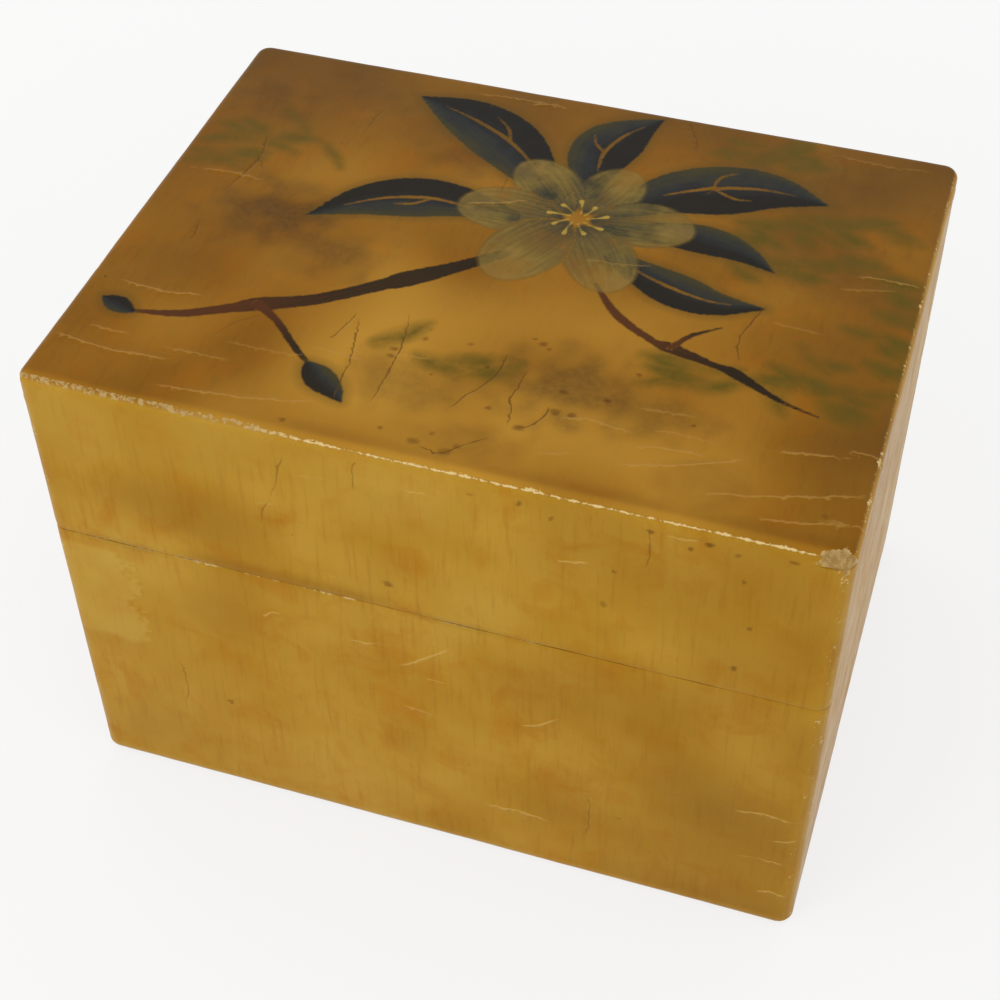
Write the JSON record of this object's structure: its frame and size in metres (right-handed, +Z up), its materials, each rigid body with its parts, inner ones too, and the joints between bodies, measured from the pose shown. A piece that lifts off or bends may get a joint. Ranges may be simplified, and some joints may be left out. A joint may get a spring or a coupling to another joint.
{
  "type": "writing box with inkstone tray",
  "caption": "Paper-covered wooden writing box: a flush lift-off lid over a lift-out tray for an inkstone, a water dropper, an ink stick and a brush, with a store below.",
  "frame": {"origin": "middle of the underside, on the surface that the box stands on", "axes": "+X along the width, to the right as seen from the front; +Y towards the back; +Z up"},
  "size_m": [0.12, 0.09, 0.086],
  "materials": {
    "lacquered_paper": "amber varnish over pasted paper, satin to glossy",
    "box_wood": "planed paulownia wood, bare",
    "lip_wood": "planed cedar, bare",
    "tray_wood": "reddish-brown wiped lacquer over wood grain",
    "bamboo_pegs": "split bamboo, bare",
    "lining": "pasted fibrous paper, matte",
    "slate": "honed dark slate",
    "dropper_metal": "aged yellow metal, brushed and darkened",
    "pressed_ink": "moulded soot ink, satin black",
    "bamboo_handle": "polished bamboo cane",
    "horn": "polished dark horn",
    "hair": "combed animal hair, tip darkened by ink"
  },
  "bodies": {
    "base": {"base_pegs": "bamboo_pegs", "base_front_wall": "box_wood", "base_back_wall": "box_wood", "base_left_wall": "box_wood", "base_right_wall": "box_wood", "bottom_board": "box_wood", "front_lip": "lip_wood", "right_lip": "lip_wood", "back_lip": "lip_wood", "left_lip": "lip_wood", "front_ledge": "lip_wood", "back_ledge": "lip_wood", "floor_lining": "lining", "base_side_covering": "lacquered_paper", "bottom_covering": "lacquered_paper"},
    "tray": {"tray_floor": "tray_wood", "tray_front_wall": "tray_wood", "tray_back_wall": "tray_wood", "tray_left_wall": "tray_wood", "tray_right_wall": "tray_wood", "long_divider": "tray_wood", "cross_divider": "tray_wood"},
    "lid": {"lid_pegs": "bamboo_pegs", "lid_front_wall": "box_wood", "lid_back_wall": "box_wood", "lid_left_wall": "box_wood", "lid_right_wall": "box_wood", "top_board": "box_wood", "lid_lining": "lining", "lid_side_covering": "lacquered_paper", "top_covering": "lacquered_paper"},
    "inkstone": {"inkstone": "slate"},
    "water_dropper": {"dropper_vessel": "dropper_metal", "dropper_plate": "dropper_metal"},
    "ink_stick": {"ink_stick": "pressed_ink"},
    "brush": {"brush_tail": "horn", "brush_handle": "bamboo_handle", "brush_ferrule": "horn", "brush_tuft": "hair"}
  },
  "joints": [
    {"name": "tray_lift", "type": "slide", "parent": "base", "child": "tray", "axis": [0, 0, 1], "range_m": [0, 0.06]},
    {"name": "lid_lift", "type": "slide", "parent": "tray", "child": "lid", "axis": [0, 0, 1], "range_m": [0, 0.09]},
    {"name": "inkstone_lift", "type": "slide", "parent": "tray", "child": "inkstone", "axis": [0, 0, 1], "range_m": [0, 0.015]},
    {"name": "water_dropper_lift", "type": "slide", "parent": "tray", "child": "water_dropper", "axis": [0, 0, 1], "range_m": [0, 0.015]},
    {"name": "ink_stick_lift", "type": "slide", "parent": "tray", "child": "ink_stick", "axis": [0, 0, 1], "range_m": [0, 0.015]},
    {"name": "brush_lift", "type": "slide", "parent": "tray", "child": "brush", "axis": [0, 0, 1], "range_m": [0, 0.015]}
  ]
}
